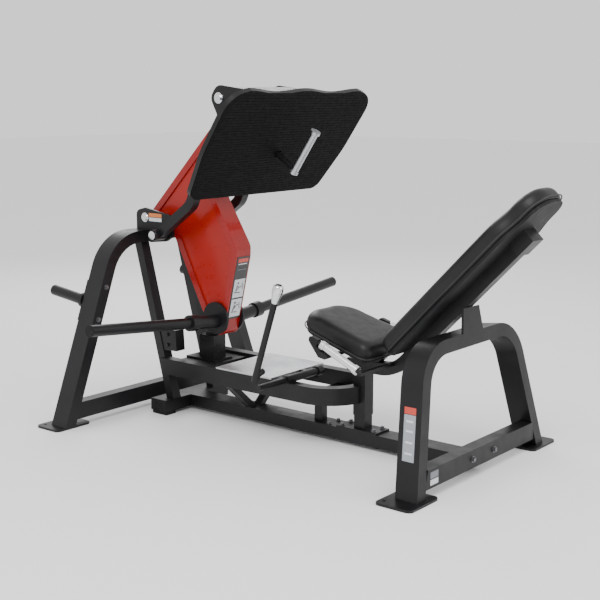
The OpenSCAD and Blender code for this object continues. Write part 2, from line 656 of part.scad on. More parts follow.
// thin instruction plate on the arm's front face
face_a = [-364, 762];
face_b = [-452, 388];
face_dir = unit2(face_b - face_a);
module arm_placard() color("#202124")
    translate([face_a[0], 0, face_a[1]]) rotate([0, 90 - atan2(face_dir[1], face_dir[0]) - 90, 0])
        span([-4, 302], [-42, 42], [0, 1.5]);

// ---- footplate -----------------------------------------------------------------------------

// x runs across, y up the plate, z out of its front face
module on_plate() {
    translate([face_x, 0, face_z]) rotate([0, 90 + plate_lean, 0]) rotate([0, 0, 90]) children();
}
wave_mid = 306;
wave_h = 8;
wave_len = 372;
corner_r = 100;
function plate_outline(d) = concat(
    [for (p = rounded([[0, -236 + d, 0], [430 - d, -236 + d, 52], [478 - d, 0, 380], [plate_half - d, 250, 0],
                       [0, 250, 0]], 8)) if (p[0] > 1 && p[1] < 249) p],
    [for (a = [0 : 9 : 72]) [plate_half - corner_r, 208] + (corner_r - d) * [cos(a), sin(a)]],
    [for (x = [370 : -18.5 : -370]) [x, wave_mid - d + wave_h * cos(360 * x / wave_len)]],
    [for (a = [108 : 9 : 180]) [corner_r - plate_half, 208] + (corner_r - d) * [cos(a), sin(a)]],
    [for (p = rounded([[0, 250, 0], [d - plate_half, 250, 0], [d - 478, 0, 380], [d - 430, -236 + d, 52],
                       [0, -236 + d, 0]], 8)) if (p[0] < -1 && p[1] < 249) p]);
module crank_hole(r) {
    translate([0, crank_s, -80]) cylinder(r = r, h = 160, $fn = 48);
}
module footplate_tread() color("#232326") on_plate() difference() {
    translate([0, 0, -tread_t]) linear_extrude(tread_t) polygon(plate_outline(2));
    crank_hole(lever_r + 6);
}
face_t = 5;                 // thickness of the sheet behind the tread
rim_t = 4;
module footplate_board() color("#2a2b2e") on_plate() difference() {
    translate([0, 0, -tread_t - board_t]) linear_extrude(board_t) polygon(plate_outline(0));
    translate([0, 0, -tread_t - board_t - 1]) linear_extrude(board_t - face_t + 1) polygon(plate_outline(rim_t));
    crank_hole(lever_r);
}

// welded bracket behind the board: two side plates and a cover over the top
back_off = tread_t + face_t;
function in_plane(s, d) = [face_x + s * sin(plate_lean) - d * cos(plate_lean),
                           face_z + s * cos(plate_lean) + d * sin(plate_lean)];
lug_a = in_plane(292, back_off);
lug_b = in_plane(-40, back_off);
lug_c = [q1[0] - 12, q1[1] + 58];
bracket_pts = [pt(lug_a, 0), pt(lug_c, 46), [q1[0] - 52, q1[1] + 2, 40],
               [q1[0] - 6, q1[1] - 86, 40], [q2[0] - 30, q2[1] - 60, 60], pt(lug_b, 0)];
cover_dir = unit2(lug_c - lug_a);
cover_t = 6;
module footplate_bracket() color("#2a2b2e") {
    both() difference() {
        side_plate(rounded(bracket_pts, 8), [-brk_in - brk_t, -brk_in]);
        bar_y(q1, pin_r, [-brk_in - brk_t - 1, -brk_in + 1]);
        bar_y(q2, pin_small_r, [-brk_in - brk_t - 1, -brk_in + 1]);
    }
    // cover over the top, from the board to above the pivot
    low = in_plane(292 - cover_t * 1.15, back_off);
    side_plate([lug_a, lug_a + cover_dir * 262, low + cover_dir * 262, low], [-brk_in, brk_in]);
}
module footplate_pivot_pin() color("#c9ccd0") pin_with_heads(q1, pin_r - fit, brk_in + brk_t, 24);
module link_end_pin() color("#c9ccd0") pin_with_heads(q2, pin_small_r - fit, brk_in + brk_t, 18);

// ---- links ---------------------------------------------------------------------------------

knee = [-528, 1004];
knee_high = [-462, 1166];    // keeps the link clear of the footplate's lower edge
link_half = 22;
d_low = unit2(knee - lp);
d_mid = unit2(knee_high - knee);
d_high = unit2(q2 - knee_high);
n_low = [-d_low[1], d_low[0]];
n_mid = [-d_mid[1], d_mid[0]];
n_high = [-d_high[1], d_high[0]];
side_low = (n_low + n_mid) * link_half / (1 + n_low * n_mid);
side_high = (n_mid + n_high) * link_half / (1 + n_mid * n_high);
link_pts = [pt(lp - (d_low - n_low) * link_half, 20), pt(lp - (d_low + n_low) * link_half, 20),
            pt(knee - side_low, 90), pt(knee_high - side_high, 90),
            pt(q2 + (d_high - n_high) * link_half, 20), pt(q2 + (d_high + n_high) * link_half, 20),
            pt(knee_high + side_high, 90), pt(knee + side_low, 90)];
module link_bar() difference() {
    union() {
        side_plate(rounded(link_pts, 8), [-link_out, -link_in]);
        bar_y(lp, 26, [-link_out - 25, -link_in + 12]);
        bar_y(q2, 24, [-link_out, -link_in + 4]);
    }
    bar_y(lp, pin_small_r, [-link_out - 30, -link_in + 20]);
    bar_y(q2, pin_small_r + 0.4, [-link_out - 30, -link_in + 20]);
}
module link_left() color("#2a2b2e") link_bar();
module link_right() color("#2a2b2e") mirror([0, 1, 0]) link_bar();

// ---- crank on the footplate ----------------------------------------------------------------

crank_r = lever_r - 0.3;
module crank_rod() color("#26272a") on_plate() {
    translate([0, crank_s, -70]) cylinder(r = crank_r, h = 70 + crank_len, $fn = 48);
    // collar behind the board
    translate([0, crank_s, -back_off - 12]) cylinder(r = crank_r + 8, h = 11.6, $fn = 48);
}
module crank_grip() color("#c9ccd0") on_plate() translate([0, crank_s, crank_len]) rotate([-90, 0, 0])
    difference() {
        union() {
            translate([0, 0, -16]) cylinder(r = 20, h = 14, $fn = 48);
            translate([0, 0, -2]) cylinder(r = 16.5, h = grip_len - 12, $fn = 48);
            translate([0, 0, grip_len - 14]) cylinder(r = 22, h = 12, $fn = 48);
        }
        rotate([90, 0, 0]) translate([0, 0, -120]) cylinder(r = crank_r, h = 120, $fn = 48);
    }

// ---- stop lever ----------------------------------------------------------------------------

lever_bend = 40;
lever_end = norm([knob_dx, knob_dz]) - knob_len;
module lever_rod() color("#1e1f21") {
    bar_y([lever_x, lever_z], lever_r, [lever_out + lever_bend, 44]);
    translate([lever_x, lever_out, lever_z]) rotate([0, 90 - atan2(knob_dz, knob_dx), 0]) {
        translate([0, lever_bend, lever_bend]) rotate([0, 90, 0]) rotate([0, 0, 180])
            rotate_extrude(angle = 90, $fn = 64) translate([lever_bend, 0]) circle(r = lever_r, $fn = 48);
        translate([0, 0, lever_bend]) cylinder(r = lever_r, h = lever_end - lever_bend, $fn = 48);
    }
    // collars at both ends of the bearing tube
    bar_y([lever_x, lever_z], bear_r + 2, [-206, -190.4]);
    bar_y([lever_x, lever_z], bear_r + 2, [34.4, 44]);
}
module lever_knob() color("#c9ccd0") translate([lever_x, lever_out, lever_z])
    rotate([0, 90 - atan2(knob_dz, knob_dx), 0]) translate([0, 0, lever_end])
        rotate_extrude($fn = 64) polygon(rounded([[0, 0, 0], [13, 0, 3], [23.5, knob_len * 0.62, 24],
                                                  [22, knob_len, 14], [0, knob_len, 0]]));

// ---- drawing -------------------------------------------------------------------------------

rear_arch();
rear_cross_tube();
rear_foot_plates();
inner_upright_left();
inner_upright_right();
floor_tube();
floor_tube_pads();
main_beam();
seat_arch();
seat_cross_tube();
seat_foot_plates();
platform_rails();
checker_plate();
platform_struts();
rail_support_post();
platform_crossbars();
pivot_plate_left();
pivot_plate_right();
stop_post();
stop_bumper();
upright_bracket();
seat_column();
column_base_plate();
seat_beam();
back_support_post();
back_end_bracket();
seat_board();
seat_cushion();
back_board();
back_cushion();
handle_brackets();
seat_mount();
handle_grips();
storage_pegs();
storage_peg_plates();
frame_bolts();
main_pivot_pin();
link_pivot_pin();
lever_bearings();
arm_frame();
arm_panels();
arm_pivot_hubs();
arm_cover_discs();
horn_hub();
weight_horns();
horn_collars();
horn_end_caps();
arm_placard();
footplate_board();
footplate_tread();
footplate_bracket();
footplate_pivot_pin();
link_end_pin();
link_left();
link_right();
crank_rod();
crank_grip();
lever_rod();
lever_knob();
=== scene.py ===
"""Looks of the leg press machine: materials, cushions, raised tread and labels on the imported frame."""
import math

import bmesh
import bpy
import numpy as np
from mathutils import Matrix, Vector


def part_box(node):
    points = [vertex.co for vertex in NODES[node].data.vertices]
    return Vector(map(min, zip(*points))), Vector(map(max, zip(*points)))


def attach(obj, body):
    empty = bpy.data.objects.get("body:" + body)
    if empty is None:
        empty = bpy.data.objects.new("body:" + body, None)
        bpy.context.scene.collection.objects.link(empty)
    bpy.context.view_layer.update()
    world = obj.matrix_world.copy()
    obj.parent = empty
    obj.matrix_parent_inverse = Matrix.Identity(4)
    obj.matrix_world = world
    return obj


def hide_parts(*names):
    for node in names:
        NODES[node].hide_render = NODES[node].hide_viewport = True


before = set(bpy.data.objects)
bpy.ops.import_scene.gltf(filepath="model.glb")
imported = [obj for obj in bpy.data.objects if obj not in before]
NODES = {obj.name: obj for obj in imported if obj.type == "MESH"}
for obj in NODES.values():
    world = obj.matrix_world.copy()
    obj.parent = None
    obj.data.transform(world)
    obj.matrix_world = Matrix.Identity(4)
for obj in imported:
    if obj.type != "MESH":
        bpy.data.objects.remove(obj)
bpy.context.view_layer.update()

PLATE_LEAN = math.radians(34.5)    # footplate, from upright
SEAT_TILT = math.radians(16)       # seat, front edge up
BACK_ANGLE = math.radians(45.5)    # backrest, above level
RIB_PITCH = 0.0135                 # of the ribs across the footplate
Y = Vector((0, 1, 0))
PLATE_UP = Vector((math.sin(PLATE_LEAN), 0, math.cos(PLATE_LEAN)))
PLATE_OUT = Vector((math.cos(PLATE_LEAN), 0, -math.sin(PLATE_LEAN)))
SEAT_ALONG = Vector((math.cos(SEAT_TILT), 0, -math.sin(SEAT_TILT)))
SEAT_OUT = Vector((math.sin(SEAT_TILT), 0, math.cos(SEAT_TILT)))
BACK_ALONG = Vector((math.cos(BACK_ANGLE), 0, math.sin(BACK_ANGLE)))
BACK_OUT = Vector((-math.sin(BACK_ANGLE), 0, math.cos(BACK_ANGLE)))


# ---- materials ------------------------------------------------------------------------------

class Shader:
    """A small helper that adds nodes to one material."""

    def __init__(self, name, color, rough, metallic=0.0, coat=0.0, coat_rough=0.1, specular=0.5):
        self.mat = bpy.data.materials.new(name)
        self.mat.use_nodes = True
        self.tree = self.mat.node_tree
        self.bsdf = self.tree.nodes["Principled BSDF"]
        self.set(self.bsdf, "Base Color", (*color, 1))
        self.set(self.bsdf, "Roughness", rough)
        self.set(self.bsdf, "Metallic", metallic)
        self.set(self.bsdf, "Coat Weight", coat)
        self.set(self.bsdf, "Coat Roughness", coat_rough)
        self.set(self.bsdf, "Specular IOR Level", specular)
        self.coords = self.tree.nodes.new("ShaderNodeTexCoord").outputs["Object"]
        self.height = None
        self.mat.diffuse_color = (*color, 1)

    @staticmethod
    def set(node, socket, value):
        node.inputs[socket].default_value = value

    def feed(self, socket, value):
        """Links an output to the socket, or sets it to a constant."""
        if hasattr(value, "is_output"):
            self.tree.links.new(value, socket)
        else:
            socket.default_value = value

    def add(self, kind, **inputs):
        node = self.tree.nodes.new(kind)
        for name, value in inputs.items():
            self.feed(node.inputs[name], value)
        return node

    def math(self, operation, a, b=0.0):
        node = self.tree.nodes.new("ShaderNodeMath")
        node.operation = operation
        self.feed(node.inputs[0], a)
        self.feed(node.inputs[1], b)
        return node.outputs[0]

    def noise(self, scale, detail, stretch=(1, 1, 1)):
        mapping = self.add("ShaderNodeMapping", Vector=self.coords, Scale=stretch)
        node = self.add("ShaderNodeTexNoise", Vector=mapping.outputs[0], Scale=scale, Detail=detail)
        return node.outputs["Fac"]

    def along(self, axis):
        node = self.tree.nodes.new("ShaderNodeVectorMath")
        node.operation = "DOT_PRODUCT"
        self.tree.links.new(self.coords, node.inputs[0])
        node.inputs[1].default_value = axis
        return node.outputs["Value"]

    def wave(self, axis, pitch):
        """A sine from -1 to 1 that repeats every pitch metres along axis."""
        return self.math("SINE", self.math("MULTIPLY", self.along(axis), 2 * math.pi / pitch))

    def ramp(self, fac, low, high, start=0.3, end=0.7):
        node = self.add("ShaderNodeMapRange", Value=fac)
        self.set(node, "From Min", start)
        self.set(node, "From Max", end)
        self.set(node, "To Min", low)
        self.set(node, "To Max", high)
        return node.outputs["Result"]

    def vary_rough(self, fac, low, high):
        self.tree.links.new(self.ramp(fac, low, high), self.bsdf.inputs["Roughness"])

    def vary_color(self, fac, dark, light, start=0.3, end=0.7):
        node = self.tree.nodes.new("ShaderNodeMix")
        node.data_type = "RGBA"
        self.tree.links.new(self.ramp(fac, 0, 1, start, end), node.inputs[0])
        node.inputs[6].default_value = (*dark, 1)
        node.inputs[7].default_value = (*light, 1)
        self.tree.links.new(node.outputs[2], self.bsdf.inputs["Base Color"])

    def bump(self, height, distance, strength):
        """Adds relief on top of what earlier calls gave."""
        node = self.add("ShaderNodeBump", Height=height, Distance=distance, Strength=strength)
        if self.height is not None:
            self.tree.links.new(self.height, node.inputs["Normal"])
        self.height = node.outputs["Normal"]
        self.tree.links.new(self.height, self.bsdf.inputs["Normal"])


def powder_coat():
    s = Shader("powder_coat", (0.006, 0.006, 0.007), 0.40, coat=0.05, coat_rough=0.25, specular=0.28)
    s.vary_color(s.noise(5, 4), (0.0045, 0.0045, 0.0052), (0.008, 0.008, 0.0094))
    s.vary_rough(s.noise(14, 4), 0.34, 0.48)
    s.bump(s.noise(700, 2), 0.0002, 0.35)
    s.bump(s.noise(90, 2), 0.0003, 0.25)
    return s.mat


def gloss_red():
    s = Shader("gloss_red", (0.27, 0.004, 0.003), 0.26, coat=0.3, coat_rough=0.08, specular=0.3)
    s.vary_color(s.noise(4, 3), (0.25, 0.003, 0.002), (0.30, 0.005, 0.003))
    s.vary_rough(s.noise(20, 3), 0.22, 0.32)
    s.bump(s.noise(160, 2), 0.0003, 0.25)
    return s.mat


def panel_red():
    s = Shader("panel_red", (0.32, 0.007, 0.003), 0.30, coat=0.2, coat_rough=0.12, specular=0.3)
    s.vary_color(s.noise(3, 3), (0.29, 0.006, 0.0025), (0.35, 0.009, 0.004))
    s.vary_rough(s.noise(18, 3), 0.26, 0.36)
    s.bump(s.noise(160, 2), 0.0002, 0.15)
    return s.mat


def vinyl():
    s = Shader("vinyl", (0.004, 0.004, 0.0045), 0.40, coat=0.05, coat_rough=0.35, specular=0.32)
    cells = s.add("ShaderNodeTexVoronoi", Vector=s.coords, Scale=420.0)
    s.vary_color(s.noise(7, 4), (0.003, 0.003, 0.0035), (0.006, 0.006, 0.007))
    s.vary_rough(s.noise(30, 4), 0.38, 0.50)
    s.bump(cells.outputs["Distance"], 0.0004, 0.35)
    s.bump(s.noise(220, 3), 0.0002, 0.2)
    return s.mat


def piping():
    s = Shader("piping", (0.012, 0.012, 0.013), 0.5)
    s.vary_rough(s.noise(60, 3), 0.42, 0.58)
    s.bump(s.noise(500, 3), 0.0003, 0.5)
    return s.mat


def plain_rubber():
    s = Shader("rubber", (0.010, 0.010, 0.011), 0.75, specular=0.2)
    s.vary_color(s.noise(40, 4), (0.008, 0.008, 0.009), (0.014, 0.014, 0.015))
    s.vary_rough(s.noise(60, 3), 0.66, 0.85)
    s.bump(s.noise(600, 3), 0.0003, 0.5)
    return s.mat


def ribbed_rubber():
    """Rubber with fine level ribs across the footplate; its colour is painted darker in the grooves between
    them as painted shade.
    """
    s = Shader("ribbed_rubber", (0.006, 0.006, 0.007), 0.70, specular=0.08)
    ribs = s.wave(PLATE_UP, RIB_PITCH / 2)
    # painted shade: the colour follows the same wave as the rib relief below, dark in the grooves and light
    # on the ridges
    s.vary_color(ribs, (0.0025, 0.0025, 0.0025), (0.008, 0.0075, 0.008), -0.9, 0.8)
    s.vary_rough(s.noise(60, 3), 0.58, 0.8)
    s.bump(s.ramp(ribs, 0, 1, -0.9, 0.9), 0.0006, 0.4)
    s.bump(s.noise(400, 2), 0.0001, 0.2)
    return s.mat


def painted_board():
    s = Shader("painted_board", (0.009, 0.009, 0.010), 0.6, specular=0.25)
    s.vary_rough(s.noise(20, 4, (1, 8, 1)), 0.5, 0.72)
    s.bump(s.noise(90, 5, (1, 10, 1)), 0.0004, 0.4)
    return s.mat


def bare_aluminium():
    s = Shader("bare_aluminium", (0.55, 0.56, 0.58), 0.38, metallic=0.85)
    s.vary_color(s.noise(12, 5), (0.46, 0.47, 0.49), (0.62, 0.63, 0.65))
    s.vary_rough(s.noise(50, 5, (1, 6, 1)), 0.3, 0.5)
    s.bump(s.noise(500, 3, (1, 8, 1)), 0.0002, 0.3)
    return s.mat


def chrome():
    s = Shader("chrome", (0.74, 0.75, 0.77), 0.12, metallic=1.0)
    s.vary_rough(s.noise(40, 4), 0.08, 0.2)
    s.bump(s.noise(300, 2), 0.0001, 0.15)
    return s.mat


def satin_silver():
    s = Shader("satin_silver", (0.80, 0.81, 0.83), 0.26, metallic=0.95)
    s.vary_color(s.noise(30, 4), (0.74, 0.75, 0.77), (0.84, 0.85, 0.87))
    s.vary_rough(s.noise(60, 3), 0.20, 0.34)
    s.bump(s.noise(400, 2), 0.0001, 0.2)
    return s.mat


KNURL_PITCH = 0.0042


def knurled(name, axis, color, rough):
    """Steel with crossed knurling round a bar that runs along axis."""
    s = Shader(name, color, rough, metallic=1.0)
    axis = axis.normalized()
    side = axis.orthogonal().normalized()
    other = axis.cross(side)
    first = s.math("MULTIPLY", s.wave(axis + side, KNURL_PITCH), s.wave(axis - side, KNURL_PITCH))
    second = s.math("MULTIPLY", s.wave(axis + other, KNURL_PITCH), s.wave(axis - other, KNURL_PITCH))
    s.bump(s.math("ADD", first, second), 0.0003, 0.35)
    s.vary_rough(s.noise(60, 3), rough - 0.05, rough + 0.08)
    return s.mat


def zinc_bolt():
    s = Shader("dark_zinc", (0.16, 0.16, 0.17), 0.35, metallic=0.9)
    s.vary_color(s.noise(120, 4), (0.10, 0.10, 0.11), (0.24, 0.24, 0.25))
    s.vary_rough(s.noise(150, 3), 0.28, 0.48)
    s.bump(s.noise(600, 2), 0.0001, 0.3)
    return s.mat


PRINT_ROUGH = 0.45


def print_ink(name, color):
    """A printed field on a plate or sticker."""
    s = Shader(name, color, PRINT_ROUGH, coat=0.3, coat_rough=0.2)
    dark = tuple(c * 0.92 for c in color)
    s.vary_color(s.noise(60, 3), dark, color)
    s.vary_rough(s.noise(80, 3), PRINT_ROUGH - 0.06, PRINT_ROUGH + 0.06)
    s.bump(s.noise(400, 2), 0.0001, 0.2)
    return s.mat


COAT = powder_coat()
RED = gloss_red()
PANEL = panel_red()
VINYL = vinyl()
PIPING = piping()
RUBBER = plain_rubber()
RIBBED = ribbed_rubber()
BOARD = painted_board()
ALUMINIUM = bare_aluminium()
CHROME = chrome()
ZINC = zinc_bolt()
GRIP = satin_silver()
CRANK_GRIP = knurled("crank_knurl", PLATE_UP, (0.50, 0.51, 0.53), 0.3)
INK_WHITE = print_ink("ink_white", (0.62, 0.64, 0.66))
INK_BLACK = print_ink("ink_black", (0.012, 0.012, 0.013))
INK_RED = print_ink("ink_red", (0.55, 0.05, 0.03))
INK_ORANGE = print_ink("ink_orange", (0.62, 0.17, 0.03))
INK_GREY = print_ink("ink_grey", (0.16, 0.17, 0.19))
INK_SILVER = print_ink("ink_silver", (0.30, 0.32, 0.35))

BY_NODE = {
    "floor_tube_pads": RUBBER, "stop_bumper": RUBBER, "horn_end_caps": RUBBER,
    "footplate_tread": RIBBED, "seat_board": BOARD, "back_board": BOARD,
    "arm_frame": RED, "arm_pivot_hubs": RED, "arm_panels": PANEL,
    "checker_plate": ALUMINIUM, "handle_grips": GRIP, "crank_grip": CRANK_GRIP,
    "lever_knob": CHROME, "main_pivot_pin": CHROME, "link_pivot_pin": CHROME,
    "footplate_pivot_pin": CHROME, "link_end_pin": CHROME, "frame_bolts": ZINC,
    "arm_placard": INK_BLACK,
}
# how round the edges of a node are, in metres, where it isn't the usual
USUAL_EDGE = 0.0012
SHARP_ANGLE = math.radians(35)     # edges that turn more than this are rounded
EDGE = {
    "rear_arch": 0.006, "seat_arch": 0.006, "platform_rails": 0.004, "main_beam": 0.005, "floor_tube": 0.005,
    "rear_cross_tube": 0.005, "seat_cross_tube": 0.005, "seat_beam": 0.004, "footplate_tread": 0.003,
    "footplate_board": 0.0015, "arm_frame": 0.0025, "seat_column": 0.004, "inner_upright_left": 0.004,
    "inner_upright_right": 0.004, "link_left": 0.004, "link_right": 0.004, "arm_cover_discs": 0.002,
}


def dress(node, material):
    """Gives a CAD node its material and rounded edges."""
    obj = NODES[node]
    obj.data.materials.clear()
    obj.data.materials.append(material)
    obj.data.polygons.foreach_set("use_smooth", [True] * len(obj.data.polygons))
    obj.data.update()
    bevel = obj.modifiers.new("edges", "BEVEL")
    bevel.width = EDGE.get(node, USUAL_EDGE)
    bevel.segments = 3
    bevel.limit_method = "ANGLE"
    bevel.angle_limit = SHARP_ANGLE
    weighted = obj.modifiers.new("normals", "WEIGHTED_NORMAL")
    weighted.keep_sharp = True


for name in NODES:
    dress(name, BY_NODE.get(name, COAT))


# ---- mesh helpers ---------------------------------------------------------------------------

def piece(name, mesh_or_bm, material, body, smooth=True):
    """A new object from mesh data, in the row frame, that rides on a body."""
    if isinstance(mesh_or_bm, bmesh.types.BMesh):
        mesh = bpy.data.meshes.new(name)
        bmesh.ops.recalc_face_normals(mesh_or_bm, faces=mesh_or_bm.faces)
        mesh_or_bm.to_mesh(mesh)
        mesh_or_bm.free()
    else:
        mesh = mesh_or_bm
    obj = bpy.data.objects.new(name, mesh)
    bpy.context.scene.collection.objects.link(obj)
    mesh.materials.clear()
    mesh.materials.append(material)
    for face in mesh.polygons:
        face.use_smooth = smooth
    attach(obj, body)
    return obj


def axes(x, y, z):
    """A matrix whose columns are the three given directions."""
    return Matrix((x, y, z)).transposed().to_4x4()


def local_points(node, x, y, z):
    """The node's points in a frame of the given directions."""
    return [Vector((v.co.dot(x), v.co.dot(y), v.co.dot(z))) for v in NODES[node].data.vertices]


def extent(points):
    """Lowest and highest corner of some points."""
    low = Vector([min(p[i] for p in points) for i in range(3)])
    high = Vector([max(p[i] for p in points) for i in range(3)])
    return low, high


SAME_LEVEL = 0.0004


def outline_of(points, level):
    """The points at one height, in order round the middle of the whole, and that middle."""
    low, high = extent(points)
    middle = (low + high) / 2
    ring = {(round(p.x, 5), round(p.y, 5)) for p in points if abs(p.z - level) < SAME_LEVEL}
    return sorted(ring, key=lambda q: math.atan2(q[1] - middle.y, q[0] - middle.x)), middle


def ring_tube(name, points, radius, material, body):
    """A closed round tube through the points, as a mesh."""
    curve = bpy.data.curves.new(name, "CURVE")
    curve.dimensions = "3D"
    curve.bevel_depth = radius
    curve.bevel_resolution = 3
    spline = curve.splines.new("POLY")
    spline.points.add(len(points) - 1)
    for p, q in zip(spline.points, points):
        p.co = (*q, 1)
    spline.use_cyclic_u = True
    holder = bpy.data.objects.new(name + "_path", curve)
    bpy.context.scene.collection.objects.link(holder)
    depsgraph = bpy.context.evaluated_depsgraph_get()
    mesh = bpy.data.meshes.new_from_object(holder.evaluated_get(depsgraph))
    bpy.data.objects.remove(holder)
    return piece(name, mesh, material, body)


# ---- cushions -------------------------------------------------------------------------------

# rings of a cushion's side: (how far in from the outline, height as a part of the thickness)
SIDE = [(0.010, 0.0), (0.003, 0.06), (0.002, 0.30), (0.003, 0.55), (0.008, 0.74), (0.018, 0.88),
        (0.034, 0.95)]
VOXEL = 0.0055
PRESSURE = 4.0
LAST_FRAME = 20
CAP = 0.008            # how far the inflation may move a point
SIDEWAYS = 0.2         # share of that movement kept along the board
SPREAD_ROUNDS = 40     # how evenly the movement is shared out
SMOOTH_ROUNDS = 10
BOARD_GAP = 0.0004     # above the bottom of the CAD solid
PROUD = 0.005          # how far the pad may rise above the CAD solid
PIPING_R = 0.0028
PIPING_OUT = 0.0002    # outside the outline
PIPING_HEIGHT = 0.115  # as a part of the thickness


def cushion(node, x, y, z, name):
    """A stuffed pad in the space of a CAD cushion: z is the direction out of its front."""
    points = local_points(node, x, y, z)
    low, high = extent(points)
    ring, middle = outline_of(points, high.z)
    size = high - low
    to_row = axes(x, y, z)

    def at(p, inset, height):
        """A point of the outline moved in, at a part of the thickness, in the row frame."""
        x_in = middle.x + (p[0] - middle.x) * (1 - 2 * inset / size.x)
        y_in = middle.y + (p[1] - middle.y) * (1 - 2 * inset / size.y)
        return to_row @ Vector((x_in, y_in, low.z + height * size.z))

    bm = bmesh.new()
    loops = [[bm.verts.new(at(p, inset, height)) for p in ring] for inset, height in SIDE]
    for a, b in zip(loops, loops[1:]):
        for i in range(len(ring)):
            k = (i + 1) % len(ring)
            bm.faces.new((a[i], a[k], b[k], b[i]))
    bm.faces.new(list(reversed(loops[0])))
    bm.faces.new(loops[-1])
    bmesh.ops.triangulate(bm, faces=[f for f in bm.faces if len(f.verts) > 4])
    obj = piece(name, bm, VINYL, "frame")
    inflate(obj, to_row, low, high)
    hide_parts(node)
    seam = [at(p, -PIPING_OUT, PIPING_HEIGHT) for p in ring]
    ring_tube(name + "_piping", seam, PIPING_R, PIPING, "frame")


def inflate(obj, to_row, low, high):
    """Remeshes the pad, blows it up as cloth, and keeps it close to its CAD solid."""
    remesh = obj.modifiers.new("remesh", "REMESH")
    remesh.mode = "VOXEL"
    remesh.voxel_size = VOXEL
    apply_modifiers(obj)
    rest = [v.co.copy() for v in obj.data.vertices]
    cloth = obj.modifiers.new("cloth", "CLOTH")
    cloth.settings.use_pressure = True
    cloth.settings.uniform_pressure_force = PRESSURE
    cloth.settings.effector_weights.gravity = 0.0
    cloth.settings.quality = 4
    cloth.point_cache.frame_start = 1
    cloth.point_cache.frame_end = LAST_FRAME
    for step in range(1, LAST_FRAME + 1):
        bpy.context.scene.frame_set(step)
    apply_modifiers(obj)
    bpy.context.scene.frame_set(1)
    moves = [v.co - start for v, start in zip(obj.data.vertices, rest)]
    moves = [m * min(1.0, CAP / max(m.length, 1e-9)) for m in moves]
    moves = spread(obj.data, moves)
    back = to_row.inverted()
    floor_z, roof_z = low.z + BOARD_GAP, high.z + PROUD
    for vertex, start, move in zip(obj.data.vertices, rest, moves):
        p = back @ start
        p += Vector((SIDEWAYS, SIDEWAYS, 1)) * (back.to_3x3() @ move)
        p.z = min(max(p.z, floor_z), roof_z)
        vertex.co = to_row @ p
    smooth = obj.modifiers.new("smooth", "SMOOTH")
    smooth.factor = 0.5
    smooth.iterations = SMOOTH_ROUNDS
    apply_modifiers(obj)
    for face in obj.data.polygons:
        face.use_smooth = True


def spread(mesh, moves):
    """Averages each point's movement with its neighbours', so that the surface swells evenly."""
    edges = np.array([e.vertices[:] for e in mesh.edges])
    shared = np.array([m[:] for m in moves])
    count = np.zeros(len(shared))
    np.add.at(count, edges.ravel(), 1)
    for _ in range(SPREAD_ROUNDS):
        total = np.zeros_like(shared)
        np.add.at(total, edges[:, 0], shared[edges[:, 1]])
        np.add.at(total, edges[:, 1], shared[edges[:, 0]])
        shared = 0.5 * shared + 0.5 * total / count[:, None]
    return [Vector(m) for m in shared]


def apply_modifiers(obj):
    """Makes what the modifiers show the piece's own mesh."""
    depsgraph = bpy.context.evaluated_depsgraph_get()
    mesh = bpy.data.meshes.new_from_object(obj.evaluated_get(depsgraph))
    obj.modifiers.clear()
    materials = list(obj.data.materials)
    obj.data = mesh
    mesh.materials.clear()
    for material in materials:
        mesh.materials.append(material)


cushion("seat_cushion", SEAT_ALONG, Y, SEAT_OUT, "seat_pad")
cushion("back_cushion", BACK_ALONG, Y, BACK_OUT, "back_pad")


# ---- raised pattern of the checker plate ----------------------------------------------------

LENS_PITCH = 0.0235
LENS_MARGIN = 0.012
LENS_LENGTH = 0.0095     # half of one
LENS_WIDTH = 0.0032      # half
LENS_HEIGHT = 0.0013
LENS_SIDES = 8
RIDGE_SHARE = 0.55       # of a lens's length
SUNK = 0.0003            # how far raised parts reach into what they stand on


def checker_pattern():
    """Lens-shaped bars in two directions over the plate's top."""
    low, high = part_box("checker_plate")
    rows = int((high.x - low.x - 2 * LENS_MARGIN) / LENS_PITCH)
    columns = int((high.y - low.y - 2 * LENS_MARGIN) / LENS_PITCH)
    bm = bmesh.new()
    for i in range(rows + 1):
        for k in range(columns + 1):
            x = low.x + LENS_MARGIN + i * LENS_PITCH
            y = low.y + LENS_MARGIN + k * LENS_PITCH
            lens(bm, Vector((x, y, high.z)), math.radians(45 if (i + k) % 2 else -45))
    piece("checker_pattern", bm, ALUMINIUM, "frame")


def lens(bm, centre, turn):
    """One bar: a round rim that rises to a ridge of two points."""
    c, s = math.cos(turn), math.sin(turn)
    rim = []
    for t in range(LENS_SIDES):
        a = 2 * math.pi * t / LENS_SIDES
        u, v = LENS_LENGTH * math.cos(a), LENS_WIDTH * math.sin(a)
        rim.append(bm.verts.new(centre + Vector((u * c - v * s, u * s + v * c, -SUNK))))
    half = LENS_LENGTH * RIDGE_SHARE
    ridge = [bm.verts.new(centre + Vector((q * half * c, q * half * s, LENS_HEIGHT))) for q in (1, -1)]
    for t in range(LENS_SIDES):
        near = ridge[0] if t in (0, 1, 6, 7) else ridge[1]
        bm.faces.new((rim[t], rim[(t + 1) % LENS_SIDES], near))
    bm.faces.new((rim[2], ridge[1], ridge[0]))
    bm.faces.new((rim[6], ridge[0], ridge[1]))


checker_pattern()


# ---- ribs of the footplate's rubber ---------------------------------------------------------

RIB_SECTION = [(-0.0042, -SUNK), (-0.0028, 0.0013), (0.0028, 0.0013), (0.0042, -SUNK)]
RIB_START = 0.012        # first rib, above the lower edge
RIB_EDGE = 0.006         # from a rib's end to the rubber's edge
CRANK_GAP = 0.004        # between the crank's rod and its hole, about
HOLE_ZONE = 0.04         # edges nearer than this to the crank belong to its hole


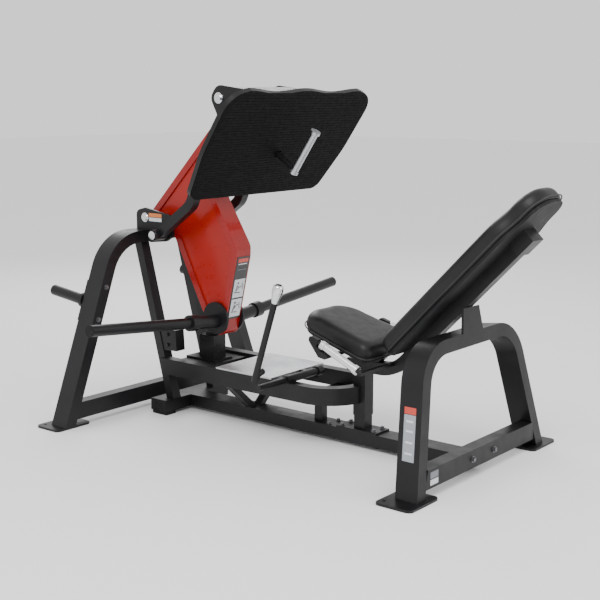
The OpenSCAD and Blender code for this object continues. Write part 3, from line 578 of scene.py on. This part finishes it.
def front_edges(points, hole, front):
    """The outer edges of the rubber's front face."""
    edges = []
    for edge in NODES["footplate_tread"].data.edges:
        a, b = (points[i] for i in edge.vertices)
        far = min(abs(q.x - hole.x) + abs(q.y - hole.y) for q in (a, b))
        if max(abs(a.z - front), abs(b.z - front)) < 0.0005 and far > HOLE_ZONE:
            edges.append((a, b))
    return edges


def tread_ribs():
    """Low level bars over the front of the rubber, cut off at its edge and round the crank."""
    to_row = axes(Y, PLATE_UP, PLATE_OUT)
    points = local_points("footplate_tread", Y, PLATE_UP, PLATE_OUT)
    low, high = extent(points)
    rod_low, rod_high = extent(local_points("crank_rod", Y, PLATE_UP, PLATE_OUT))
    hole = (rod_low + rod_high) / 2
    hole_r = (rod_high.y - rod_low.y) / 2 + CRANK_GAP
    edges = front_edges(points, hole, high.z)
    bm = bmesh.new()
    level = low.y + RIB_START
    while level < high.y - RIB_EDGE:
        crossings = [a.x + (b.x - a.x) * (level - a.y) / (b.y - a.y) for a, b in edges
                     if (a.y - level) * (b.y - level) < 0]
        if crossings:
            x0, x1 = min(crossings) + RIB_EDGE, max(crossings) - RIB_EDGE
            for start, end in beside_hole(x0, x1, level, hole, hole_r):
                if end - start > 0.01:
                    rib(bm, to_row, start, end, level, high.z)
        level += RIB_PITCH
    piece("tread_ribs", bm, RIBBED, "footplate", smooth=False)


def beside_hole(x0, x1, level, hole, hole_r):
    """The rib's stretch, or its two stretches where the hole is in its way."""
    left = hole_r ** 2 - (level - hole.y) ** 2
    if left <= -0.0001:
        return [(x0, x1)]
    reach = math.sqrt(max(left, 0)) + RIB_EDGE
    return [(x0, hole.x - reach), (hole.x + reach, x1)]


def rib(bm, to_row, x0, x1, level, front):
    """One bar with a flat top and sloping sides."""
    ends = [[bm.verts.new(to_row @ Vector((x, level + u, front + h))) for u, h in RIB_SECTION]
            for x in (x0, x1)]
    for i in range(4):
        k = (i + 1) % 4
        bm.faces.new((ends[0][i], ends[0][k], ends[1][k], ends[1][i]))
    bm.faces.new(list(reversed(ends[0])))
    bm.faces.new(ends[1])


tread_ribs()


# ---- printed plates and stickers ------------------------------------------------------------

LIFT = 0.0002            # of a printed field above its plate
HIGH_LIFT = 0.0009       # of what is printed over a field
INK_THICK = 0.0004
CORNER = 0.002
CORNER_STEPS = 4


def field(name, origin, u, v, material, body, lift, thick=INK_THICK, corner=CORNER):
    """A thin printed field: origin is one corner, u and v its sides, lift its height above the surface."""
    origin, u, v = Vector(origin), Vector(u), Vector(v)
    n = u.cross(v).normalized()
    uu, vv = u.normalized(), v.normalized()
    r = min(corner, u.length / 3, v.length / 3)
    corners = [(r, r, 180), (u.length - r, r, 270), (u.length - r, v.length - r, 0), (r, v.length - r, 90)]
    flat = []
    for cx, cy, start in corners:
        for k in range(CORNER_STEPS):
            a = math.radians(start + 90 * k / (CORNER_STEPS - 1))
            flat.append(origin + uu * (cx + r * math.cos(a)) + vv * (cy + r * math.sin(a)) + n * lift)
    bm = bmesh.new()
    bottom = [bm.verts.new(p) for p in flat]
    top = [bm.verts.new(p + n * thick) for p in flat]
    for i in range(len(flat)):
        k = (i + 1) % len(flat)
        bm.faces.new((bottom[i], bottom[k], top[k], top[i]))
    bm.faces.new(top)
    bm.faces.new(list(reversed(bottom)))
    piece(name, bm, material, body, smooth=False)


# the plate's fields: name, from and to as parts of its height, half width as a part, ink
HEAD_FIELDS = [("plate_head_band", 0.03, 0.09, 0.80, INK_RED),
               ("plate_head_line", 0.11, 0.125, 0.70, INK_WHITE),
               ("plate_head_line_low", 0.20, 0.21, 0.70, INK_GREY)]
PICTURE_FIELDS = [(0.36, 0.655), (0.68, 0.965)]
PICTURE_WIDTH = 0.86


def arm_plate_print():
    """Fields on the arm's instruction plate: a dark head, two light panels with plain seated figures."""
    points = [v.co for v in NODES["arm_placard"].data.vertices]
    top = max(points, key=lambda p: p.z + 0.2 * p.x)
    bottom = min(points, key=lambda p: p.z - 0.2 * p.x)
    run = Vector((bottom.x - top.x, 0, bottom.z - top.z))
    down = run.normalized()
    out = Vector((-down.z, 0, down.x))
    front = max(p.dot(out) for p in points)
    half = max(p.y for p in points)
    start = Vector((top.x, 0, top.z)) + out * (front - top.dot(out))

    def place(at, side):
        return start + down * (at * run.length) + Vector((0, side, 0))

    def panel(name, a, b, share, material):
        side = half * share
        field(name, place(b, -side), (0, 2 * side, 0), -down * ((b - a) * run.length), material,
              "swing_arm", LIFT)

    for name, a, b, share, material in HEAD_FIELDS:
        panel(name, a, b, share, material)
    for number, (a, b) in enumerate(PICTURE_FIELDS):
        name = f"plate_panel_{number}"
        panel(name, a, b, PICTURE_WIDTH, INK_WHITE)
        figure(name + "_figure", place((a + b) / 2, 0), -down, out, KNEE_HEIGHTS[number])


KNEE_HEIGHTS = (0.012, 0.020)
LIMB_HALF = 0.0024
HEAD_AT = (-0.009, 0.026)
HEAD_R = 0.006


def figure(name, centre, up, out, knee):
    """A plain seated figure: head, back, thigh, shin, arm, footplate and seat."""
    hip, shoulder, knee_at = (-0.020, -0.014), (-0.012, 0.016), (0.0, knee - 0.008)
    limbs = [(shoulder, hip), (hip, knee_at), (knee_at, (0.016, -0.004 + knee)),
             ((-0.012, 0.014), (-0.002, 0.0)), ((0.018, 0.026), (0.026, -0.006)),
             ((-0.030, -0.018), (0.012, -0.022))]
    bm = bmesh.new()

    def fill(outline):
        bm.faces.new([bm.verts.new(centre + Y * a + up * b + out * HIGH_LIFT) for a, b in outline])

    for (x0, y0), (x1, y1) in limbs:
        d = Vector((x1 - x0, y1 - y0)).normalized() * LIMB_HALF
        fill([(x0 - d.y, y0 + d.x), (x0 + d.y, y0 - d.x), (x1 + d.y, y1 - d.x), (x1 - d.y, y1 + d.x)])
    turns = [t * math.pi / 8 for t in range(16)]
    fill([(HEAD_AT[0] + HEAD_R * math.cos(a), HEAD_AT[1] + HEAD_R * math.sin(a)) for a in turns])
    bmesh.ops.solidify(bm, geom=bm.faces[:], thickness=0.0003)
    piece(name, bm, INK_GREY, "swing_arm", smooth=False)


arm_plate_print()

# the seat arch's legs: half spread at the floor, how fast they come in, and the arch's lean
LEG_HALF = 0.496
LEG_SPLAY = 0.255
LEG_LEAN = 0.124
LEG_WIDE = 0.100
LABEL_LIFT = 0.0004
# name, from and to height, how far in from the leg's edges, ink, lift
LEG_FIELDS = [
    ("leg_label", 0.150, 0.318, 0.024, INK_SILVER, LABEL_LIFT),
    ("leg_label_head", 0.320, 0.345, 0.024, INK_RED, LABEL_LIFT),
    ("leg_label_line_a", 0.290, 0.298, 0.034, INK_WHITE, HIGH_LIFT),
    ("leg_label_line_b", 0.255, 0.262, 0.034, INK_WHITE, HIGH_LIFT),
    ("leg_label_line_c", 0.215, 0.222, 0.034, INK_WHITE, HIGH_LIFT),
    ("leg_label_line_d", 0.175, 0.182, 0.034, INK_WHITE, HIGH_LIFT)]


def leg_label():
    """Tall grey label with a red head on the outer face of the near seat leg, and its lines."""
    face_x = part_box("seat_arch")[1].x

    def at(x_back, z):
        return Vector((face_x - LEG_LEAN * z - x_back, LEG_SPLAY * z - LEG_HALF, z))

    up = (at(0, 1) - at(0, 0)).normalized()
    for name, z0, z1, inset, material, lift in LEG_FIELDS:
        origin = at(LEG_WIDE - inset, z0)
        field(name, origin, at(inset, z0) - origin, up * ((z1 - z0) / up.z), material, "frame", lift)


leg_label()


def flat_label(name, origin, u, v, fields):
    """A sticker on the frame from stacked fields: (from, to, material) as parts of its height."""
    for number, (a, b, material) in enumerate(fields):
        field(f"{name}_{number}", Vector(origin) + Vector(v) * a, u, Vector(v) * (b - a), material,
              "frame", 0.0003, thick=0.0003, corner=0.001)


cross_low, cross_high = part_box("seat_cross_tube")
flat_label("cross_label", (cross_high.x, cross_low.y + 0.035, cross_low.z + 0.012),
           (0, 0.055, 0), (0, 0, 0.052), ((0.0, 0.42, INK_WHITE), (0.5, 1.0, INK_GREY)))
pivot_low, pivot_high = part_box("pivot_plate_left")
flat_label("pivot_label", (pivot_low.x + 0.085, pivot_low.y, pivot_high.z - 0.062),
           (0.085, 0, 0), (0, 0, 0.038), ((0.0, 0.45, INK_WHITE), (0.52, 1.0, INK_ORANGE)))


# ---- stage ----------------------------------------------------------------------------------

MIDDLE = Vector((0, 0, 0.7))


def stage():
    """A pale floor and an even white surround."""
    material = Shader("pale_floor", (0.93, 0.93, 0.93), 0.95, specular=0.1)
    material.vary_rough(material.noise(2, 2), 0.85, 0.95)
    bpy.ops.mesh.primitive_plane_add(size=60, location=(0, 0, 0))
    floor = bpy.context.object
    floor.name = "floor"
    floor.data.materials.append(material.mat)
    world = bpy.data.worlds.new("studio")
    world.use_nodes = True
    world.node_tree.nodes["Background"].inputs["Color"].default_value = (1, 1, 1, 1)
    world.node_tree.nodes["Background"].inputs["Strength"].default_value = 1.15
    bpy.context.scene.world = world


def area_light(name, location, size, power):
    """A large soft light that faces the middle of the machine."""
    light = bpy.data.lights.new(name, "AREA")
    light.shape = "SQUARE"
    light.size = size
    light.energy = power
    obj = bpy.data.objects.new(name, light)
    obj.location = location
    obj.rotation_euler = (MIDDLE - Vector(location)).to_track_quat("-Z", "Y").to_euler()
    bpy.context.scene.collection.objects.link(obj)


def camera():
    """Beside the seat end, above it, looking slightly down at the machine."""
    azimuth = math.radians(38.95)
    pitch = math.radians(10.15)
    data = bpy.data.cameras.new("camera")
    data.sensor_width = 36
    data.lens = 69
    data.clip_end = 100
    obj = bpy.data.objects.new("camera", data)
    obj.location = (3.13, -3.91, 1.50)
    obj.rotation_euler = (math.pi / 2 - pitch, 0, azimuth)
    bpy.context.scene.collection.objects.link(obj)
    bpy.context.scene.camera = obj


stage()
area_light("key", (1.5, -3.2, 4.2), 2.6, 150)
area_light("fill", (4.2, 0.8, 2.2), 2.5, 60)
area_light("back", (-3.4, 2.6, 3.2), 2.5, 70)
camera()
